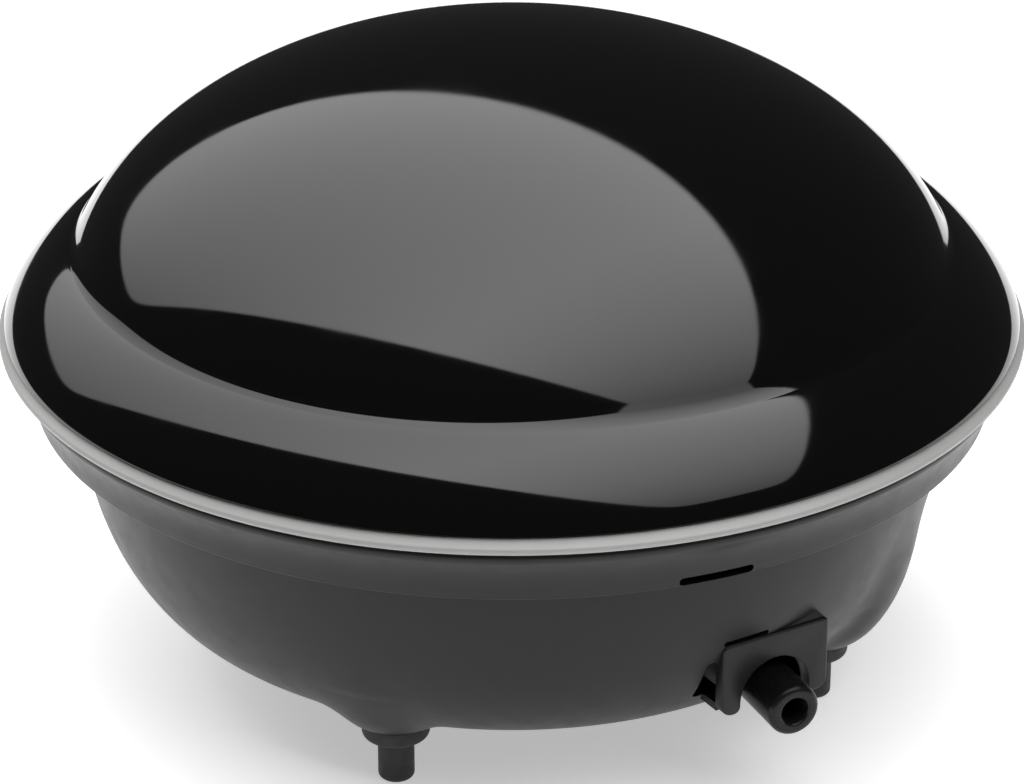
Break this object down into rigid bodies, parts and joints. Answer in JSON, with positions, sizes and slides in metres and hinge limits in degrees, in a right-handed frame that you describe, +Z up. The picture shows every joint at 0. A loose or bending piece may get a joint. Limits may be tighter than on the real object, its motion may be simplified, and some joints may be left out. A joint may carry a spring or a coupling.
{
  "type": "air pump",
  "caption": "Round air pump with a glossy domed lid, a grey trim ring, a matte bowl on thin rubber feet and a hose nozzle; a rocking magnet arm works its diaphragm.",
  "frame": {"origin": "on the floor, under the middle of the round housing", "axes": "+Z up, -Y is the front, midway between two feet; the air outlet is 14 degrees from the front towards +X and the cord gland is at the rear"},
  "size_m": [0.1316, 0.1316, 0.0834],
  "materials": {
    "lid_gloss_black": "high gloss, faint orange peel",
    "ring_light_grey": "satin",
    "base_dark_grey": "fine matte texture",
    "rubber_black": "matte",
    "nozzle_black": "semi-gloss",
    "filter_felt": "felt",
    "inner_plastic": "satin, natural colour",
    "screw_steel": "zinc plated",
    "core_steel": "lacquered laminations",
    "winding_copper": null,
    "magnet_ferrite": "dull ground ferrite"
  },
  "bodies": {
    "housing": {"top_cover": "lid_gloss_black", "trim_ring": "ring_light_grey", "base_housing": "base_dark_grey", "filter_cap": "base_dark_grey", "foot_front_right": "rubber_black", "foot_back_right": "rubber_black", "foot_back_left": "rubber_black", "foot_front_left": "rubber_black", "cord_gland": "rubber_black", "outlet_tube": "rubber_black", "valve_gasket": "rubber_black", "diaphragm": "rubber_black", "outlet_nozzle": "nozzle_black", "filter_pad": "filter_felt", "valve_cover": "inner_plastic", "chamber_body": "inner_plastic", "clamp_ring": "inner_plastic", "pivot_bracket": "inner_plastic", "coil_bobbin": "inner_plastic", "case_screw_front_right": "screw_steel", "case_screw_back_right": "screw_steel", "case_screw_back_left": "screw_steel", "case_screw_front_left": "screw_steel", "chamber_screw_1": "screw_steel", "chamber_screw_2": "screw_steel", "chamber_screw_3": "screw_steel", "chamber_screw_4": "screw_steel", "pivot_bracket_screw_left": "screw_steel", "pivot_bracket_screw_right": "screw_steel", "core_cradle_screw_left": "screw_steel", "core_cradle_screw_right": "screw_steel", "pivot_pin": "screw_steel", "core_rivet_lower": "screw_steel", "core_rivet_upper": "screw_steel", "core_cradle": "screw_steel", "core_lamination": "core_steel", "coil_winding": "winding_copper"},
    "arm": {"lever_arm": "inner_plastic", "diaphragm_hub": "inner_plastic", "hub_screw": "screw_steel", "magnet": "magnet_ferrite"},
    "intake_valve": {"intake_flap": "rubber_black"},
    "exhaust_valve": {"exhaust_flap": "rubber_black"}
  },
  "joints": [
    {"name": "arm_swing", "type": "hinge", "parent": "housing", "child": "arm", "pos_m": [0, 0.004, 0.044], "axis": [1, 0, 0], "range_deg": [-2.5, 2.5], "stiffness_Nm_per_rad": 0.12, "deforming": ["diaphragm"]},
    {"name": "intake_flap_hinge", "type": "hinge", "parent": "housing", "child": "intake_valve", "pos_m": [-0.0052, -0.0205, 0.0315], "axis": [1, 0, 0], "range_deg": [0, 18], "stiffness_Nm_per_rad": 0.0002},
    {"name": "exhaust_flap_hinge", "type": "hinge", "parent": "housing", "child": "exhaust_valve", "pos_m": [0.0052, -0.0205, 0.0283], "axis": [-1, 0, 0], "range_deg": [0, 18], "stiffness_Nm_per_rad": 0.0002}
  ]
}
